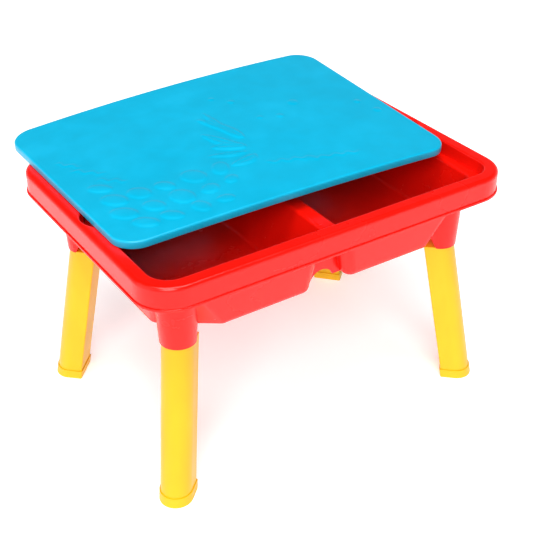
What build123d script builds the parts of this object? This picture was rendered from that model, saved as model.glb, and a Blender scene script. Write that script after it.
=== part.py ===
from build123d import *
import math
import os

# Sand and water table: a moulded tray with two basins on four plug-in legs, and a loose lid.
# +X runs along the table's length, -Y points out of its front long side, +Z is up.
# The origin is on the floor, under the centre of the tray. All sizes are in millimetres.

# Tray
TABLE_LENGTH = 490.0
TABLE_WIDTH = 354.0
RIM_HEIGHT = 310.0
CORNER_RADIUS = 44.0
RIM_WIDTH = 17.5
RIM_EDGE_ROUND = 5.0
RIM_INNER_ROUND = 2.4
SKIRT_HEIGHT = 29.0
WALL = 2.6
LIP_OUTSET = 1.5
LIP_HEIGHT = 3.4
LIP_ROUND = 1.0

# Recess for the lid, with a ledge all round that carries the closed lid
RECESS_DEPTH = 17.0
RECESS_DRAFT = 3.5
NOTCH_RADIUS = 26.0
NOTCH_DEPTH = 10.0

# Basins, measured at their mouths, which lie in the ledge; the cut corners grow towards the floor
BASIN_HALF_WIDTH = 150.0
BASIN_END = 216.0
DIVIDER_HALF = 10.0
MOUTH_CUT_LONG = 24.0
MOUTH_CUT_SHORT = 17.0
FLOOR_CUT_LONG = 73.0
FLOOR_CUT_SHORT = 51.0
BASIN_DEPTH = 77.0
BASIN_DRAFT = 7.0
DIVIDER_DRAFT = 14.0
BASIN_CORNER = 18.0
FLOOR_ROUND = 8.0
MOUTH_ROUND = 4.5
WEB_AT = 125.0
WEB_HALF = 31.0
WEB_DROP = 75.0
WEB_ARCH = 17.0
WEB_ARCH_DROP = 81.0

# Legs: round on the outer side, flat on the inner side, splayed outward
LEG_RADIUS = 19.0
LEG_FLAT = 18.0
LEG_CORNER = 2.0
LEG_ANGLE = 43.0
LEG_SPLAY = 38.8
LEG_WALL = 2.4
FOOT_X = 217.0
FOOT_Y = 145.5
SHOULDER_HEIGHT = 202.0
SPIGOT_RADIUS = 18.6
SPIGOT_FACE = 7.2
SPIGOT_HEIGHT = 38.0
PLUG_GAP = 0.3

# Sleeves under the tray's corners: height, radius, start of the arc, place of the inner side
SLEEVE_SECTIONS = (
    (SHOULDER_HEIGHT, 21.3, 4.0, 1.8),
    (SHOULDER_HEIGHT + 18.0, 22.2, 3.0, -8.0),
    (RIM_HEIGHT - RECESS_DEPTH, 25.5, 0.0, -24.0),
)

# Foot caps
CAP_HEIGHT = 12.0
CAP_WALL = 1.3
CAP_FLOOR = 2.0

# Lid, arched along its length, lying askew on the rim
LID_LENGTH = 451.0
LID_WIDTH = 315.0
LID_CORNER = 31.0
LID_SKIN = 2.2
LID_EDGE = 9.5
LID_ARCH = 7.0
LID_SHIFT = (-7.0, 69.0)
LID_TURN = 0.3
LID_GAP = 0.3

ledge_z = RIM_HEIGHT - RECESS_DEPTH
skirt_z = RIM_HEIGHT - SKIRT_HEIGHT
socket_roof_z = ledge_z - WALL
notch_x = TABLE_LENGTH / 2 - RIM_WIDTH + NOTCH_DEPTH - NOTCH_RADIUS
leg_turn = math.radians(LEG_ANGLE)
cut_length = math.hypot(FLOOR_CUT_LONG, FLOOR_CUT_SHORT)
spigot_top = SHOULDER_HEIGHT + SPIGOT_HEIGHT
arch_radius = (LID_LENGTH**2 / 4 + LID_ARCH**2) / (2 * LID_ARCH)
corners = {
    "front_left": (-1, -1),
    "front_right": (1, -1),
    "back_left": (-1, 1),
    "back_right": (1, 1),
}


def rim_outline(inset):
    """The tray's rounded rectangle, drawn in by the inset."""
    RectangleRounded(
        TABLE_LENGTH - 2 * inset, TABLE_WIDTH - 2 * inset, CORNER_RADIUS - inset
    )


def basin_plug(side, growth, depth, floor_round):
    """A basin as a solid that narrows to its floor, its outer corners cut off beside the legs."""
    inset = depth * math.tan(math.radians(BASIN_DRAFT))
    lean = depth * math.tan(math.radians(DIVIDER_DRAFT)) - inset
    far = side * BASIN_END
    levels = (
        (0, 0, growth, MOUTH_CUT_LONG, MOUTH_CUT_SHORT),
        (depth, lean, growth - inset, FLOOR_CUT_LONG, FLOOR_CUT_SHORT),
    )
    with BuildPart() as plug:
        for drop, shift, change, cut_long, cut_short in levels:
            near = side * (DIVIDER_HALF + shift)
            cut_x = side * (BASIN_END - cut_long)
            cut_y = BASIN_HALF_WIDTH - cut_short
            with BuildSketch(Plane.XY.offset(ledge_z - drop)) as section:
                with BuildLine():
                    Polyline(
                        (near, -BASIN_HALF_WIDTH),
                        (cut_x, -BASIN_HALF_WIDTH),
                        (far, -cut_y),
                        (far, cut_y),
                        (cut_x, BASIN_HALF_WIDTH),
                        (near, BASIN_HALF_WIDTH),
                        close=True,
                    )
                make_face()
                fillet(section.vertices(), BASIN_CORNER)
                if change:
                    offset(amount=change)
        loft(ruled=True)
        fillet(plug.faces().sort_by(Axis.Z)[0].edges(), floor_round)
    return plug.part


def leg_plane(sx, sy, height):
    """A level plane on a leg's centre line, its x towards the leg's round side."""
    inward = LEG_SPLAY * height / SHOULDER_HEIGHT
    x = sx * (FOOT_X - inward * math.cos(leg_turn))
    y = sy * (FOOT_Y - inward * math.sin(leg_turn))
    outward = (sx * math.cos(leg_turn), sy * math.sin(leg_turn), 0)
    return Plane(origin=(x, y, height), x_dir=outward, z_dir=(0, 0, 1))


def socket_plane(sx, sy, height):
    """A level plane above a leg's shoulder, its x square to the basin's cut corner."""
    centre = leg_plane(sx, sy, SHOULDER_HEIGHT).origin
    away = (sx * FLOOR_CUT_SHORT / cut_length, sy * FLOOR_CUT_LONG / cut_length, 0)
    return Plane(origin=(centre.X, centre.Y, height), x_dir=away, z_dir=(0, 0, 1))


def leg_run(sx, sy, radius, flat, bottom, top):
    """A stretch of leg: half round outside, with a flat inner side."""
    with BuildPart() as run:
        for height in (bottom, top):
            with BuildSketch(leg_plane(sx, sy, height)) as section:
                with BuildLine():
                    ThreePointArc((0, -radius), (radius, 0), (0, radius))
                    Polyline((0, radius), (-flat, radius), (-flat, -radius), (0, -radius))
                make_face()
                fillet(section.vertices().group_by(Axis.X)[0], LEG_CORNER)
        loft()
    return run.part


def spigot_run(sx, sy, radius, face, bottom, top):
    """The half-round plug on a leg's shoulder, or the hole that takes it."""
    with BuildPart() as run:
        with BuildSketch(socket_plane(sx, sy, bottom)):
            Circle(radius)
            with Locations((face, 0)):
                Rectangle(
                    3 * radius, 3 * radius, align=(Align.MAX, Align.CENTER), mode=Mode.SUBTRACT
                )
        extrude(amount=top - bottom)
    return run.part


def sleeve_run(sx, sy):
    """The outside of a leg socket, which widens upward and runs into the basin."""
    with BuildPart() as run:
        for height, radius, start, inner in SLEEVE_SECTIONS:
            half = math.sqrt(radius**2 - start**2)
            with BuildSketch(socket_plane(sx, sy, height)):
                with BuildLine():
                    ThreePointArc((start, -half), (radius, 0), (start, half))
                    Polyline((start, half), (inner, half), (inner, -half), (start, -half))
                make_face()
        loft(ruled=True)
    return run.part


def arch_band(length, width, corner, top, bottom):
    """A curved band between two depths below the lid's arched top, trimmed to a rounded outline."""
    with BuildPart() as band:
        with BuildSketch(Plane.XZ):
            with Locations((0, LID_ARCH - arch_radius)):
                Circle(arch_radius - top)
                Circle(arch_radius - bottom, mode=Mode.SUBTRACT)
        extrude(amount=LID_WIDTH, both=True)
        with BuildSketch(Plane.XY.offset(-3 * LID_EDGE)):
            RectangleRounded(length, width, corner)
        extrude(amount=5 * LID_EDGE, mode=Mode.INTERSECT)
    return band.part


def save(piece, name):
    """Label a finished piece and write it as its own file."""
    piece.label = name
    export_step(piece, f"parts/{name}.step")


os.makedirs("parts", exist_ok=True)

basin_shells = [basin_plug(side, WALL, BASIN_DEPTH, FLOOR_ROUND) for side in (-1, 1)]
basin_spaces = [
    basin_plug(side, 0, BASIN_DEPTH - WALL, FLOOR_ROUND - WALL) for side in (-1, 1)
]
sleeves = [sleeve_run(sx, sy) for sx, sy in corners.values()]
socket_holes = [
    spigot_run(
        sx,
        sy,
        SPIGOT_RADIUS + PLUG_GAP,
        SPIGOT_FACE - PLUG_GAP,
        SHOULDER_HEIGHT - WALL,
        socket_roof_z,
    )
    for sx, sy in corners.values()
]

with BuildPart() as tray:
    # Rim block with its rounded top edge, and the small lip along the skirt's lower edge
    with BuildSketch(Plane.XY.offset(skirt_z)):
        rim_outline(0)
    extrude(amount=SKIRT_HEIGHT)
    fillet(tray.faces().sort_by(Axis.Z)[-1].edges(), RIM_EDGE_ROUND)
    with BuildSketch(Plane.XY.offset(skirt_z)):
        rim_outline(-LIP_OUTSET)
    extrude(amount=LIP_HEIGHT)
    lip_faces = tray.faces().filter_by(Plane.XY).sort_by(Axis.Z)[0:2]
    fillet(lip_faces[0].edges() + lip_faces[1].outer_wire().edges(), LIP_ROUND)

    # The rim is open from below; the pan that holds the recess hangs inside it
    with BuildSketch(Plane.XY.offset(skirt_z)):
        rim_outline(WALL)
    extrude(amount=SKIRT_HEIGHT - WALL, mode=Mode.SUBTRACT)
    with BuildSketch(Plane.XY.offset(ledge_z - WALL)):
        rim_outline(RIM_WIDTH - WALL)
        with Locations((-notch_x, 0), (notch_x, 0)):
            Circle(NOTCH_RADIUS + WALL)
    extrude(amount=RECESS_DEPTH)

    # Leg sleeves with their sockets, the basins, and the arched webs that tie the basins together
    for form in sleeves:
        add(form)
    for form in socket_holes:
        add(form, mode=Mode.SUBTRACT)
    for form in basin_shells:
        add(form)
    for y in (-WEB_AT, WEB_AT):
        with BuildSketch(Plane.XZ.offset(-y)):
            with Locations((0, ledge_z - WEB_DROP)):
                Rectangle(2 * WEB_HALF, WEB_DROP, align=(Align.CENTER, Align.MIN))
            with Locations((0, ledge_z - WEB_ARCH_DROP)):
                Circle(WEB_ARCH, mode=Mode.SUBTRACT)
        extrude(amount=WALL / 2, both=True)

    # Recess, finger notches and basins are hollowed out
    with BuildSketch(Plane.XY.offset(RIM_HEIGHT)):
        rim_outline(RIM_WIDTH)
    extrude(amount=-RECESS_DEPTH, taper=RECESS_DRAFT, mode=Mode.SUBTRACT)
    with BuildSketch(Plane.XY.offset(RIM_HEIGHT)):
        with Locations((-notch_x, 0), (notch_x, 0)):
            Circle(NOTCH_RADIUS)
    extrude(amount=-RECESS_DEPTH, mode=Mode.SUBTRACT)
    for form in basin_spaces:
        add(form, mode=Mode.SUBTRACT)

    # Hands and toys meet only rounded edges: the rim's inner edge, the basin mouths and the lip
    fillet(tray.faces().sort_by(Axis.Z)[-1].inner_wires().edges(), RIM_INNER_ROUND)
    ledge = tray.faces().filter_by(Plane.XY).filter_by(lambda f: abs(f.center().Z - ledge_z) < 0.01)
    fillet(ledge.sort_by(SortBy.AREA)[-1].inner_wires().edges(), MOUTH_ROUND)
save(tray.part, "tray")

for place, (sx, sy) in corners.items():
    outer = leg_run(sx, sy, LEG_RADIUS, LEG_FLAT, CAP_FLOOR, SHOULDER_HEIGHT)
    plug = spigot_run(sx, sy, SPIGOT_RADIUS, SPIGOT_FACE, SHOULDER_HEIGHT, spigot_top)
    core = leg_run(
        sx, sy, LEG_RADIUS - LEG_WALL, LEG_FLAT - LEG_WALL, CAP_FLOOR, SHOULDER_HEIGHT - LEG_WALL
    )
    plug_core = spigot_run(
        sx,
        sy,
        SPIGOT_RADIUS - LEG_WALL,
        SPIGOT_FACE + LEG_WALL,
        SHOULDER_HEIGHT - 2 * LEG_WALL,
        spigot_top - LEG_WALL,
    )
    with BuildPart() as leg:
        add(outer)
        add(plug)
        add(core, mode=Mode.SUBTRACT)
        add(plug_core, mode=Mode.SUBTRACT)
    save(leg.part, f"leg_{place}")
    cap_outer = leg_run(sx, sy, LEG_RADIUS + CAP_WALL, LEG_FLAT + CAP_WALL, 0, CAP_HEIGHT)
    cap_space = leg_run(sx, sy, LEG_RADIUS, LEG_FLAT, CAP_FLOOR, CAP_HEIGHT)
    with BuildPart() as cap:
        add(cap_outer)
        add(cap_space, mode=Mode.SUBTRACT)
    save(cap.part, f"foot_cap_{place}")

lid_body = arch_band(LID_LENGTH, LID_WIDTH, LID_CORNER, 0, LID_EDGE)
lid_space = arch_band(
    LID_LENGTH - 2 * LID_SKIN, LID_WIDTH - 2 * LID_SKIN, LID_CORNER - LID_SKIN, LID_SKIN, 2 * LID_EDGE
)
with BuildPart() as lid_blank:
    add(lid_body)
    add(lid_space, mode=Mode.SUBTRACT)
rest = Location((*LID_SHIFT, RIM_HEIGHT + LID_GAP + LID_EDGE), (0, 0, LID_TURN))
with BuildPart() as lid:
    with Locations(rest):
        add(lid_blank.part)
save(lid.part, "lid")
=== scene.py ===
import math

import bpy
import numpy as np
from bpy.props import FloatProperty, FloatVectorProperty, IntProperty, PointerProperty
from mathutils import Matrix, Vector


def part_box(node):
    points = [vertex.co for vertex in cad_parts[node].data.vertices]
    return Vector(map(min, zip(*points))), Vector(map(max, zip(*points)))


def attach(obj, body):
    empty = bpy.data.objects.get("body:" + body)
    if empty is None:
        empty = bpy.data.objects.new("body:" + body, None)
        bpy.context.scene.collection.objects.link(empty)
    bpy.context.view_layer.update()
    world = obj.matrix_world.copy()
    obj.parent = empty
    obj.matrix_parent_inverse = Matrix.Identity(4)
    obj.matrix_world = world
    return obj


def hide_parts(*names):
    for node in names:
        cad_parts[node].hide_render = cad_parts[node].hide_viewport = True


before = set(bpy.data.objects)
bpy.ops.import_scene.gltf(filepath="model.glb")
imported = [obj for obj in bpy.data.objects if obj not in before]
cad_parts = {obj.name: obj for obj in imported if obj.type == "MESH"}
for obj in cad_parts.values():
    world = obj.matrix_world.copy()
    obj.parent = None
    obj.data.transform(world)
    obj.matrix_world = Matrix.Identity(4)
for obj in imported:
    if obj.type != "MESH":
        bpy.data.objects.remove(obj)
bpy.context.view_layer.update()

# Sand and water table: a moulded tray with two basins, four plug-in legs with foot caps, and a
# thin arched lid that lies askew on the rim. Metres; +X along the length, -Y out of the front
# long side, +Z up, origin on the floor under the centre of the tray.

bl_info = {
    "name": "Sand and Water Table",
    "version": (1, 0, 0),
    "blender": (4, 5, 0),
    "location": "View3D > Sidebar > Sand Table",
    "description": "Moulded finishes, a relief lid and a studio for a child's sand and water table",
    "category": "Object",
}

LID_LOW, LID_HIGH = (Vector(corner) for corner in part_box("lid"))
TRAY_LOW, TRAY_HIGH = (Vector(corner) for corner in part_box("tray"))
LEG_PLACES = ("front_left", "front_right", "back_left", "back_right")

# The flexed lid's outline stands this far outside the flat one on every side
LID_SPARE = 0.001
# Rounding of the lower edge of the lid's wall
LID_FOOT_ROUND = 0.0007
PLASTIC_IOR = 1.49
PLASTIC_SHEEN = 0.36

# Camera and lamps: places in metres, lamp sizes in metres, spread of the sun-like lamps in degrees
CAMERA_PLACE = (-0.6215, -0.9618, 0.9005)
CAMERA_AIM = (0.4640, 0.6970, -0.5467)
SENSOR_WIDTH = 36.0
KEY_PLACE, KEY_SPREAD = (-1.7, -2.6, 2.7), 35.0
SIDE_PLACE, SIDE_SPREAD = (-3.6, 0.6, 1.9), 60.0
OVERHEAD_PLACE, OVERHEAD_LENGTH, OVERHEAD_WIDTH = (-0.2, -0.5, 2.2), 1.8, 0.7
# Height of the view, as a share of straight up, over which the bright wall fades to the ceiling
WALL_TOP, CEILING_START = 0.14, 0.5

# Sea bed relief on the lid, in millimetres from the lid's centre.
# Pebbles: x, y, half length, half width, turn in degrees.
PEBBLES = (
    (-190, -66, 16, 11, -52),
    (-160, -68, 14, 11, -50),
    (-128, -70, 12, 8, -46),
    (-90, -70, 16, 13, -54),
    (-54, -70, 14, 10, 60),
    (-123, -102, 16, 13, -70),
    (-194, -98, 16, 11, -45),
    (-183, -128, 15, 9, -40),
    (-192, -33, 14, 8, -42),
    (-159, -102, 13, 10, -50),
    (-116, -132, 12, 9, -72),
    (-152, -131, 13, 8, -40),
    (-88, -104, 11, 9, 20),
    (-84, -132, 10, 7, -10),
    (-56, -98, 9, 7, 35),
)
# Seaweed fronds: tip x and y, half width, sideways bend. They all grow from one root.
FROND_ROOT = (14, -54)
FRONDS = (
    (-16, 52, 8, -7),
    (0, 63, 6, 5),
    (-31, 14, 8, 6),
    (-38, -22, 9, -5),
    (-52, -38, 5, 4),
    (-40, -72, 8, 6),
)
# Ripples: x, y of the middle, length, turn in degrees.
RIPPLES = (
    (-186, 10, 40, -46),
    (-172, -24, 34, -40),
    (-198, 40, 30, -50),
    (30, -96, 60, -16),
    (78, -112, 70, -12),
)
# Bubbles: x, y, radius.
BUBBLES = (
    (82, 7, 4),
    (118, 31, 6),
    (57, 16, 3),
    (196, -6, 4),
    (205, -38, 5),
    (48, 72, 4),
    (30, 92, 3),
)


# ---------------------------------------------------------------- settings


class TraySettings(bpy.types.PropertyGroup):
    """Finish of the tray."""

    colour: FloatVectorProperty(
        name="Tray colour",
        description="Colour of the tray's plastic",
        default=(0.86, 0.006, 0.002),
        subtype="COLOR",
        size=3,
        min=0.0,
        max=1.0,
    )
    roughness: FloatProperty(
        name="Tray roughness",
        description="How far the tray's gloss is broken up",
        default=0.24,
        subtype="FACTOR",
        min=0.02,
        max=1.0,
    )


class LidSettings(bpy.types.PropertyGroup):
    """Shape and finish of the lid."""

    colour: FloatVectorProperty(
        name="Lid colour",
        description="Colour of the lid's plastic",
        default=(0.0, 0.42, 0.66),
        subtype="COLOR",
        size=3,
        min=0.0,
        max=1.0,
    )
    roughness: FloatProperty(
        name="Lid roughness",
        description="How far the lid's gloss is broken up",
        default=0.34,
        subtype="FACTOR",
        min=0.02,
        max=1.0,
    )
    corner: FloatProperty(
        name="Corner radius",
        description="Radius of the lid's corners, seen from above",
        default=0.030,
        unit="LENGTH",
        min=0.005,
        max=0.1,
    )
    edge: FloatProperty(
        name="Edge height",
        description="Height of the wall that hangs from the lid's edge",
        default=0.0095,
        unit="LENGTH",
        min=0.004,
        max=0.03,
    )
    edge_round: FloatProperty(
        name="Edge rounding",
        description="Radius of the lid's upper edge",
        default=0.0024,
        unit="LENGTH",
        min=0.0005,
        max=0.004,
    )
    skin: FloatProperty(
        name="Skin thickness",
        description="Thickness of the lid's plastic",
        default=0.0022,
        unit="LENGTH",
        min=0.001,
        max=0.004,
    )
    sag: FloatProperty(
        name="Sag",
        description="How far the front right corner sinks into the tray",
        default=0.0055,
        unit="LENGTH",
        min=0.0,
        max=0.015,
    )
    lift: FloatProperty(
        name="Lift",
        description="How far the back right corner stands up from the rim",
        default=0.0137,
        unit="LENGTH",
        min=0.0,
        max=0.02,
    )
    front_arch: FloatProperty(
        name="Front arch",
        description="Arch of the lid's front edge, as a share of the arch of its back edge",
        default=0.58,
        subtype="FACTOR",
        min=0.0,
        max=1.0,
    )
    slide: FloatProperty(
        name="Slide",
        description="How far the lid lies to the right of the middle of its box",
        default=0.0022,
        unit="LENGTH",
        min=0.0,
        max=0.008,
    )
    relief: FloatProperty(
        name="Relief height",
        description="Height of the sea bed relief on the lid",
        default=0.0016,
        unit="LENGTH",
        min=0.0,
        max=0.003,
    )
    grid: IntProperty(
        name="Grid",
        description="Number of mesh cells along the lid's length",
        default=250,
        min=40,
        max=500,
    )


class LegSettings(bpy.types.PropertyGroup):
    """Finish of the legs and their foot caps."""

    colour: FloatVectorProperty(
        name="Leg colour",
        description="Colour of the legs and foot caps",
        default=(0.80, 0.48, 0.004),
        subtype="COLOR",
        size=3,
        min=0.0,
        max=1.0,
    )
    roughness: FloatProperty(
        name="Leg roughness",
        description="How far the legs' gloss is broken up",
        default=0.33,
        subtype="FACTOR",
        min=0.02,
        max=1.0,
    )


class StageSettings(bpy.types.PropertyGroup):
    """Floor, light and camera."""

    floor_colour: FloatVectorProperty(
        name="Floor colour",
        description="Colour of the plain floor",
        default=(0.93, 0.93, 0.93),
        subtype="COLOR",
        size=3,
        min=0.0,
        max=1.0,
    )
    glow: FloatProperty(
        name="Floor glow",
        description="Brightness of the lit floor itself, which keeps the shadows faint",
        default=0.45,
        min=0.0,
        max=2.0,
    )
    surround: FloatProperty(
        name="Surround",
        description="Brightness of the white studio wall near the horizon",
        default=0.45,
        min=0.0,
        max=5.0,
    )
    ceiling: FloatProperty(
        name="Ceiling",
        description="Brightness of the dark studio overhead, as a share of the surround",
        default=0.08,
        subtype="FACTOR",
        min=0.0,
        max=1.0,
    )
    key_strength: FloatProperty(
        name="Key light",
        description="Strength of the broad light from beside the camera",
        default=2.3,
        min=0.0,
        max=20.0,
    )
    side_strength: FloatProperty(
        name="Side light",
        description="Strength of the broad light from the left",
        default=0.7,
        min=0.0,
        max=20.0,
    )
    overhead_power: FloatProperty(
        name="Overhead light",
        description="Power of the softbox over the table",
        default=33.0,
        unit="POWER",
        min=0.0,
        max=500.0,
    )
    lens: FloatProperty(
        name="Lens",
        description="Focal length of the camera, in millimetres",
        default=69.5,
        min=10.0,
        max=300.0,
    )


# ---------------------------------------------------------------- materials


def new_material(name):
    """An empty node material with its shader, and the piece's own coordinates in metres."""
    material = bpy.data.materials.new(name)
    material.use_nodes = True
    tree = material.node_tree
    tree.nodes.clear()
    output = tree.nodes.new("ShaderNodeOutputMaterial")
    shader = tree.nodes.new("ShaderNodeBsdfPrincipled")
    tree.links.new(shader.outputs["BSDF"], output.inputs["Surface"])
    place = tree.nodes.new("ShaderNodeTexCoord").outputs["Object"]
    return material, tree, shader, place


def noise_of(tree, place, scale, detail=2.0, stretch=None):
    """A noise value over the surface. Stretch pulls it out into streaks."""
    if stretch:
        mapping = tree.nodes.new("ShaderNodeMapping")
        mapping.inputs["Scale"].default_value = stretch
        tree.links.new(place, mapping.inputs["Vector"])
        place = mapping.outputs["Vector"]
    noise = tree.nodes.new("ShaderNodeTexNoise")
    noise.inputs["Scale"].default_value = scale
    noise.inputs["Detail"].default_value = detail
    tree.links.new(place, noise.inputs["Vector"])
    return noise.outputs["Fac"]


def spread(tree, value, low, high, to_low, to_high):
    """The value, taken from one range to another and held inside it."""
    node = tree.nodes.new("ShaderNodeMapRange")
    node.inputs["From Min"].default_value = low
    node.inputs["From Max"].default_value = high
    node.inputs["To Min"].default_value = to_low
    node.inputs["To Max"].default_value = to_high
    tree.links.new(value, node.inputs["Value"])
    return node.outputs["Result"]


def combine(tree, operation, first, second):
    """Two values joined by a sum, a product or the like."""
    node = tree.nodes.new("ShaderNodeMath")
    node.operation = operation
    tree.links.new(first, node.inputs[0])
    tree.links.new(second, node.inputs[1])
    return node.outputs[0]


def shades(tree, value, stops):
    """Colours along a value, as (place, colour) stops."""
    ramp = tree.nodes.new("ShaderNodeValToRGB")
    elements = ramp.color_ramp.elements
    while len(elements) < len(stops):
        elements.new(0.5)
    for element, (at, colour) in zip(elements, stops):
        element.position = at
        element.color = (*colour, 1.0)
    tree.links.new(value, ramp.inputs["Fac"])
    return ramp.outputs["Color"]


def tinted(colour, factor, lift=0.0):
    """A colour made darker or lighter, and a little paler."""
    return tuple(min(1.0, channel * factor + lift) for channel in colour)


def moulded_plastic(name, colour, roughness, grain_depth, scuff_depth, scuff_stretch, foot=None):
    """Injection-moulded plastic: flow clouds in the colour, fine tool grain and light scuffs.

    Foot is a height up to which the piece is rubbed dull by the ground.
    """
    material, tree, shader, place = new_material(name)
    clouds = noise_of(tree, place, 9.0, 3.0)
    flow = noise_of(tree, place, 34.0, 2.0, (1.0, 1.0, 0.35))
    mixed = combine(tree, "MULTIPLY", clouds, flow)
    tone = shades(
        tree,
        spread(tree, mixed, 0.12, 0.42, 0.0, 1.0),
        (
            (0.0, tinted(colour, 0.93)),
            (0.55, tuple(colour)),
            (1.0, tinted(colour, 1.05, 0.002)),
        ),
    )
    tree.links.new(tone, shader.inputs["Base Color"])

    grain = noise_of(tree, place, 1400.0, 1.0)
    ripple = noise_of(tree, place, 60.0, 1.0)
    scuffs = spread(
        tree, noise_of(tree, place, 26.0, 6.0, scuff_stretch), 0.64, 0.80, 0.0, 0.4
    )
    patches = spread(tree, noise_of(tree, place, 14.0, 4.0), 0.42, 0.66, 0.0, 1.0)
    scuffed = combine(tree, "MULTIPLY", scuffs, patches)
    gloss = combine(
        tree,
        "ADD",
        spread(tree, patches, 0.0, 1.0, roughness * 0.9, roughness * 1.18),
        spread(tree, scuffed, 0.0, 1.0, 0.0, 0.16),
    )
    if foot:
        height = tree.nodes.new("ShaderNodeSeparateXYZ")
        tree.links.new(place, height.inputs["Vector"])
        ground = spread(tree, height.outputs["Z"], 0.0, foot, 1.0, 0.0)
        rubbed = combine(tree, "MULTIPLY", ground, noise_of(tree, place, 220.0, 4.0))
        gloss = combine(tree, "ADD", gloss, spread(tree, rubbed, 0.0, 1.0, 0.0, 0.35))
    tree.links.new(gloss, shader.inputs["Roughness"])

    fine = tree.nodes.new("ShaderNodeBump")
    fine.inputs["Strength"].default_value = 0.35
    fine.inputs["Distance"].default_value = grain_depth
    tree.links.new(grain, fine.inputs["Height"])
    broad = tree.nodes.new("ShaderNodeBump")
    broad.inputs["Strength"].default_value = 0.5
    broad.inputs["Distance"].default_value = grain_depth * 4.0
    tree.links.new(ripple, broad.inputs["Height"])
    tree.links.new(fine.outputs["Normal"], broad.inputs["Normal"])
    marks = tree.nodes.new("ShaderNodeBump")
    marks.invert = True
    marks.inputs["Strength"].default_value = 0.5
    marks.inputs["Distance"].default_value = scuff_depth
    tree.links.new(scuffed, marks.inputs["Height"])
    tree.links.new(broad.outputs["Normal"], marks.inputs["Normal"])
    tree.links.new(marks.outputs["Normal"], shader.inputs["Normal"])
    shader.inputs["IOR"].default_value = PLASTIC_IOR
    shader.inputs["Specular IOR Level"].default_value = PLASTIC_SHEEN
    return material


def wear(piece, material):
    """Give one material to every slot of a piece."""
    if not piece.material_slots:
        piece.data.materials.append(material)
    for slot in piece.material_slots:
        slot.material = material


# ---------------------------------------------------------------- lid


def side_line(half_along, half_out, corner, cells):
    """One side of a rounded rectangle, from the middle of one corner to the middle of the next."""
    arc = corner * math.pi / 4
    straight = 2 * (half_along - corner)
    along, out = [], []
    for step in range(cells + 1):
        run = (2 * arc + straight) * step / cells
        if run < arc:
            turn = (arc - run) / corner
            along.append(-(half_along - corner) - corner * math.sin(turn))
        elif run > arc + straight:
            turn = (run - arc - straight) / corner
            along.append(half_along - corner + corner * math.sin(turn))
        else:
            turn = 0.0
            along.append(-(half_along - corner) + run - arc)
        out.append(half_out - corner + corner * math.cos(turn))
    return np.array(along), np.array(out)


def sheet_grid(half_x, half_y, corner, cells_x, cells_y):
    """Points of a four-sided grid that fills a rounded rectangle, row by row from the front."""
    along_x, out_y = side_line(half_x, half_y, corner, cells_x)
    along_y, out_x = side_line(half_y, half_x, corner, cells_y)
    front = np.stack([along_x, -out_y], -1)
    back = np.stack([along_x, out_y], -1)
    left = np.stack([-out_x, along_y], -1)
    right = np.stack([out_x, along_y], -1)
    u = np.linspace(0.0, 1.0, cells_x + 1)[None, :, None]
    v = np.linspace(0.0, 1.0, cells_y + 1)[:, None, None]
    between_long = (1 - v) * front[None] + v * back[None]
    between_short = (1 - u) * left[:, None] + u * right[:, None]
    corners = (1 - v) * ((1 - u) * front[0] + u * front[-1])
    corners = corners + v * ((1 - u) * back[0] + u * back[-1])
    return between_long + between_short - corners


def border(cells_x, cells_y):
    """Places of a grid's border points, anticlockwise from the front left corner."""
    loop = [(0, i) for i in range(cells_x + 1)]
    loop += [(j, cells_x) for j in range(1, cells_y + 1)]
    loop += [(cells_y, i) for i in range(cells_x - 1, -1, -1)]
    loop += [(j, 0) for j in range(cells_y - 1, 0, -1)]
    return loop


def swell(distance, soft):
    """1 inside a shape, 0 outside, with a soft step as wide as soft across its edge."""
    step = np.clip(0.5 - distance / soft, 0.0, 1.0)
    return step * step * (3 - 2 * step)


def turned(x, y, centre_x, centre_y, degrees):
    """Coordinates along and across a shape that lies turned about its centre."""
    angle = math.radians(degrees)
    dx, dy = x - centre_x, y - centre_y
    along = dx * math.cos(angle) + dy * math.sin(angle)
    across = -dx * math.sin(angle) + dy * math.cos(angle)
    return along, across


def pebble_relief(x, y):
    """Low domes with a narrow groove round each, like stones pressed into the sheet."""
    height = np.zeros_like(x)
    for centre_x, centre_y, half_long, half_wide, degrees in PEBBLES:
        along, across = turned(x, y, centre_x, centre_y, degrees)
        reach = np.sqrt((along / half_long) ** 2 + (across / half_wide) ** 2)
        outside = (reach - 1) * half_wide
        dome = swell(outside, 2.6) * (0.55 + 0.45 * np.sqrt(np.clip(1 - reach**2, 0, 1)))
        groove = -0.45 * np.exp(-((outside - 1.9) ** 2) / 1.6)
        height = np.maximum(height, dome) + np.where(dome < 0.05, groove, 0.0)
    return height


def frond_relief(x, y):
    """Seaweed fronds that fan out of one root, each swollen in the middle with a vein."""
    height = np.zeros_like(x)
    root_x, root_y = FROND_ROOT
    for tip_x, tip_y, half_wide, bend in FRONDS:
        length = math.hypot(tip_x - root_x, tip_y - root_y)
        degrees = math.degrees(math.atan2(tip_y - root_y, tip_x - root_x))
        along, across = turned(x, y, root_x, root_y, degrees)
        share = np.clip(along / length, 0.0, 1.0)
        across = across - bend * np.sin(math.pi * share)
        leaf = np.clip((share - 0.3) / 0.7, 0.0, 1.0)
        blade = half_wide * np.sin(math.pi * leaf**0.8) ** 0.7 - 0.6
        outside = np.maximum(np.abs(across) - blade, np.maximum(-along, along - length))
        vein = 0.35 * np.exp(-((across / 1.2) ** 2))
        height = np.maximum(height, swell(outside, 2.4) * (1.0 - vein))
    return height


def ripple_relief(x, y):
    """Short wavy ridges, lower than the rest."""
    height = np.zeros_like(x)
    for centre_x, centre_y, length, degrees in RIPPLES:
        along, across = turned(x, y, centre_x, centre_y, degrees)
        line = across - 2.2 * np.sin(along * 2 * math.pi / 17.0)
        ends = swell(np.abs(along) - length / 2, 8.0)
        height = np.maximum(height, 0.5 * ends * np.exp(-((line / 1.9) ** 2)))
    return height


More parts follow.
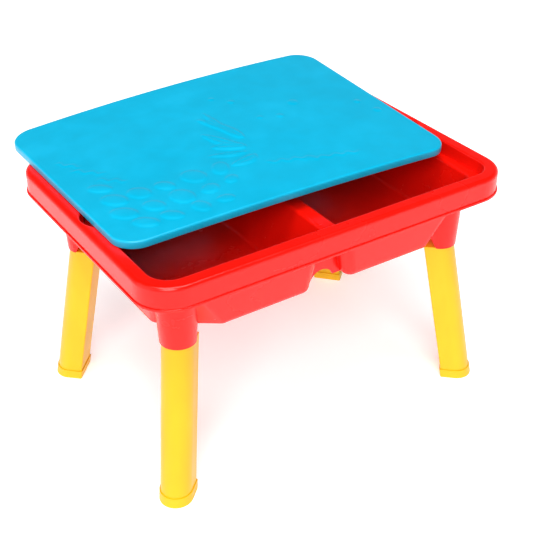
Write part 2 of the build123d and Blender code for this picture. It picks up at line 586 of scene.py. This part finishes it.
def bubble_relief(x, y):
    """Small round beads."""
    height = np.zeros_like(x)
    for centre_x, centre_y, radius in BUBBLES:
        reach = np.hypot(x - centre_x, y - centre_y)
        height = np.maximum(height, 0.5 * swell(reach - radius, 2.2))
    return height


def sea_bed(x, y):
    """Height of the whole relief, from 0 to 1, over points in metres from the lid's centre."""
    x, y = x * 1000.0, y * 1000.0
    stones = pebble_relief(x, y)
    plants = np.maximum(frond_relief(x, y), np.maximum(ripple_relief(x, y), bubble_relief(x, y)))
    return np.where(plants > stones, plants, stones)


def lid_points(settings):
    """Points and faces of the lid: relief top, rounded edge, hanging wall and hollow underside."""
    half_x = (LID_HIGH.x - LID_LOW.x) / 2 + LID_SPARE
    half_y = (LID_HIGH.y - LID_LOW.y) / 2 + LID_SPARE
    cells_x = settings.grid
    cells_y = int(round(cells_x * half_y / half_x))
    corner = settings.corner
    rounding, edge, skin = settings.edge_round, settings.edge, settings.skin
    loop = border(cells_x, cells_y)
    core = np.array([half_x - corner, half_y - corner])
    wide = cells_x + 1

    def grid_at(inset):
        return sheet_grid(half_x - inset, half_y - inset, corner - inset, cells_x, cells_y)

    def ring_at(rim, inset, drop):
        centre = np.clip(rim, -core, core)
        outward = rim - centre
        outward = outward / np.linalg.norm(outward, axis=1, keepdims=True)
        flat = centre + outward * (corner - inset)
        return np.column_stack([flat, np.full(len(flat), -drop)])

    top = grid_at(rounding)
    rim = np.array([top[place] for place in loop])
    profile = []
    for step in range(1, 7):
        turn = math.pi / 2 * step / 6
        profile.append((rounding * (1 - math.sin(turn)), rounding * (1 - math.cos(turn))))
    lower = LID_FOOT_ROUND
    profile.append((0.0, edge - lower))
    profile.append((lower * 0.3, edge - lower * 0.3))
    profile.append((lower, edge))
    profile.append((skin - lower * 0.5, edge))
    profile.append((skin, edge - lower))
    profile.append((skin + 0.0002, skin + 0.0012))
    profile.append((skin + 0.0008, skin + 0.0003))

    relief = sea_bed(top[..., 0], top[..., 1]) * settings.relief
    blocks = [np.column_stack([top.reshape(-1, 2), relief.reshape(-1)])]
    blocks += [ring_at(rim, inset, drop) for inset, drop in profile]
    under = grid_at(skin + 0.0016)
    blocks.append(np.column_stack([under.reshape(-1, 2), np.full(under[..., 0].size, -skin)]))

    faces = []
    for j in range(cells_y):
        for i in range(cells_x):
            first = j * wide + i
            faces.append((first, first + 1, first + wide + 1, first + wide))
    count = len(loop)
    start = top[..., 0].size
    upper = [j * wide + i for j, i in loop]
    for ring in range(len(profile)):
        lower_ring = [start + ring * count + k for k in range(count)]
        for k in range(count):
            following = (k + 1) % count
            faces.append((upper[k], lower_ring[k], lower_ring[following], upper[following]))
        upper = lower_ring
    start += len(profile) * count
    last = [start + j * wide + i for j, i in loop]
    for k in range(count):
        following = (k + 1) % count
        faces.append((upper[k], last[k], last[following], upper[following]))
    for j in range(cells_y):
        for i in range(cells_x):
            first = start + j * wide + i
            faces.append((first, first + wide, first + wide + 1, first + 1))

    points = np.vstack(blocks)
    arch_height = LID_HIGH.z - LID_LOW.z - edge
    share_x = (points[:, 0] + half_x) / (2 * half_x)
    share_y = (points[:, 1] + half_y) / (2 * half_y)
    arch_share = settings.front_arch + (1 - settings.front_arch) * share_y
    arch = arch_height * arch_share * (1 - (points[:, 0] / half_x) ** 2)
    lean = share_x * (settings.lift * share_y - settings.sag * (1 - share_y))
    points[:, 2] += LID_LOW.z + edge + arch + lean
    points[:, 0] += (LID_HIGH.x + LID_LOW.x) / 2 + settings.slide
    points[:, 1] += (LID_HIGH.y + LID_LOW.y) / 2
    return points, faces


def mesh_piece(name, points, faces):
    """A smooth-shaded mesh object in the scene."""
    mesh = bpy.data.meshes.new(name)
    mesh.from_pydata([tuple(point) for point in points], [], faces)
    mesh.validate()
    mesh.shade_smooth()
    piece = bpy.data.objects.new(name, mesh)
    bpy.context.scene.collection.objects.link(piece)
    return piece


# ---------------------------------------------------------------- stage


def hang(lamp, at, towards):
    """Put a lamp in the scene at a place, pointing at another."""
    holder = bpy.data.objects.new(lamp.name, lamp)
    holder.location = at
    holder.rotation_euler = (Vector(towards) - Vector(at)).to_track_quat("-Z", "Y").to_euler()
    bpy.context.scene.collection.objects.link(holder)


def broad_light(name, strength, spread_degrees, at, towards):
    """Even light from one direction, as soft as its spread is wide."""
    lamp = bpy.data.lights.new(name, "SUN")
    lamp.energy = strength
    lamp.angle = math.radians(spread_degrees)
    hang(lamp, at, towards)


def softbox(name, power, length, width, at, towards):
    """A flat rectangular lamp."""
    lamp = bpy.data.lights.new(name, "AREA")
    lamp.shape = "RECTANGLE"
    lamp.size = length
    lamp.size_y = width
    lamp.energy = power
    hang(lamp, at, towards)


# ---------------------------------------------------------------- operators


class SANDTABLE_OT_tray(bpy.types.Operator):
    """Finish the tray in glossy moulded plastic"""

    bl_idname = "sandtable.tray"
    bl_label = "Finish Tray"
    bl_options = {"REGISTER", "UNDO"}

    def execute(self, context):
        settings = context.scene.sand_table_tray
        plastic = moulded_plastic(
            "tray_red_gloss", settings.colour, settings.roughness, 0.00003, 0.00005, (1.0, 7.0, 7.0)
        )
        wear(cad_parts["tray"], plastic)
        return {"FINISHED"}


class SANDTABLE_OT_lid(bpy.types.Operator):
    """Make the thin arched lid with its sea bed relief"""

    bl_idname = "sandtable.lid"
    bl_label = "Make Lid"
    bl_options = {"REGISTER", "UNDO"}

    def execute(self, context):
        settings = context.scene.sand_table_lid
        points, faces = lid_points(settings)
        lid = mesh_piece("relief_lid", points, faces)
        plastic = moulded_plastic(
            "lid_blue_satin", settings.colour, settings.roughness, 0.00003, 0.00004, (6.0, 1.0, 6.0)
        )
        wear(lid, plastic)
        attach(lid, "lid_body")
        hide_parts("lid")
        return {"FINISHED"}


class SANDTABLE_OT_legs(bpy.types.Operator):
    """Finish the legs and their foot caps"""

    bl_idname = "sandtable.legs"
    bl_label = "Finish Legs"
    bl_options = {"REGISTER", "UNDO"}

    def execute(self, context):
        settings = context.scene.sand_table_legs
        leg_plastic = moulded_plastic(
            "leg_yellow_smooth",
            settings.colour,
            settings.roughness,
            0.00003,
            0.00005,
            (7.0, 7.0, 1.0),
        )
        cap_plastic = moulded_plastic(
            "foot_cap_yellow",
            settings.colour,
            settings.roughness * 1.15,
            0.00004,
            0.00006,
            (3.0, 3.0, 3.0),
            foot=0.008,
        )
        for place in LEG_PLACES:
            wear(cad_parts[f"leg_{place}"], leg_plastic)
            wear(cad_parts[f"foot_cap_{place}"], cap_plastic)
        return {"FINISHED"}


class SANDTABLE_OT_stage(bpy.types.Operator):
    """Set up the plain floor, the soft light and the camera"""

    bl_idname = "sandtable.stage"
    bl_label = "Set Stage"
    bl_options = {"REGISTER", "UNDO"}

    def execute(self, context):
        settings = context.scene.sand_table_stage
        scene = context.scene
        reach = 9.0
        floor = mesh_piece(
            "studio_floor",
            [(-reach, -reach, 0), (reach, -reach, 0), (reach, reach, 0), (-reach, reach, 0)],
            [(0, 1, 2, 3)],
        )
        paper, tree, shader, place = new_material("pale_paper")
        tone = shades(
            tree,
            noise_of(tree, place, 3.0, 2.0),
            ((0.3, tinted(settings.floor_colour, 0.985)), (0.7, tuple(settings.floor_colour))),
        )
        tree.links.new(tone, shader.inputs["Base Color"])
        shader.inputs["Roughness"].default_value = 0.9
        shader.inputs["Specular IOR Level"].default_value = 0.1
        shader.inputs["Emission Color"].default_value = (1.0, 1.0, 1.0, 1.0)
        shader.inputs["Emission Strength"].default_value = settings.glow
        wear(floor, paper)

        world = bpy.data.worlds.new("white_studio")
        world.use_nodes = True
        tree = world.node_tree
        heading = tree.nodes.new("ShaderNodeSeparateXYZ")
        outward = tree.nodes.new("ShaderNodeTexCoord").outputs["Generated"]
        tree.links.new(outward, heading.inputs["Vector"])
        dim = settings.surround * settings.ceiling
        brightness = spread(
            tree, heading.outputs["Z"], WALL_TOP, CEILING_START, settings.surround, dim
        )
        background = tree.nodes["Background"]
        background.inputs["Color"].default_value = (1.0, 1.0, 1.0, 1.0)
        tree.links.new(brightness, background.inputs["Strength"])
        scene.world = world

        middle = (TRAY_LOW + TRAY_HIGH) / 2
        broad_light("key_light", settings.key_strength, KEY_SPREAD, KEY_PLACE, middle)
        broad_light("side_light", settings.side_strength, SIDE_SPREAD, SIDE_PLACE, middle)
        softbox(
            "overhead",
            settings.overhead_power,
            OVERHEAD_LENGTH,
            OVERHEAD_WIDTH,
            OVERHEAD_PLACE,
            middle,
        )

        lens = bpy.data.cameras.new("table_camera")
        lens.lens = settings.lens
        lens.sensor_width = SENSOR_WIDTH
        camera = bpy.data.objects.new("table_camera", lens)
        camera.location = CAMERA_PLACE
        camera.rotation_euler = Vector(CAMERA_AIM).to_track_quat("-Z", "Y").to_euler()
        scene.collection.objects.link(camera)
        scene.camera = camera
        scene.view_settings.view_transform = "Standard"
        return {"FINISHED"}


class SANDTABLE_PT_panel(bpy.types.Panel):
    """Sizes, colours and steps of the sand and water table"""

    bl_idname = "SANDTABLE_PT_panel"
    bl_label = "Sand and Water Table"
    bl_space_type = "VIEW_3D"
    bl_region_type = "UI"
    bl_category = "Sand Table"

    def draw(self, context):
        scene = context.scene
        for title, settings, operator in (
            ("Tray", scene.sand_table_tray, "sandtable.tray"),
            ("Lid", scene.sand_table_lid, "sandtable.lid"),
            ("Legs", scene.sand_table_legs, "sandtable.legs"),
            ("Stage", scene.sand_table_stage, "sandtable.stage"),
        ):
            box = self.layout.box()
            box.label(text=title)
            for name in settings.__annotations__:
                box.prop(settings, name)
            box.operator(operator)


CLASSES = (
    TraySettings,
    LidSettings,
    LegSettings,
    StageSettings,
    SANDTABLE_OT_tray,
    SANDTABLE_OT_lid,
    SANDTABLE_OT_legs,
    SANDTABLE_OT_stage,
    SANDTABLE_PT_panel,
)


def register():
    """Register the classes and hang the settings on the scene."""
    for entry in CLASSES:
        bpy.utils.register_class(entry)
    bpy.types.Scene.sand_table_tray = PointerProperty(type=TraySettings)
    bpy.types.Scene.sand_table_lid = PointerProperty(type=LidSettings)
    bpy.types.Scene.sand_table_legs = PointerProperty(type=LegSettings)
    bpy.types.Scene.sand_table_stage = PointerProperty(type=StageSettings)


def unregister():
    """Take the settings and the classes away again."""
    del bpy.types.Scene.sand_table_stage
    del bpy.types.Scene.sand_table_legs
    del bpy.types.Scene.sand_table_lid
    del bpy.types.Scene.sand_table_tray
    for entry in reversed(CLASSES):
        bpy.utils.unregister_class(entry)


def main():
    """Build everything in order."""
    register()
    bpy.ops.sandtable.tray()
    bpy.ops.sandtable.lid()
    bpy.ops.sandtable.legs()
    bpy.ops.sandtable.stage()


if __name__ == "__main__":
    main()
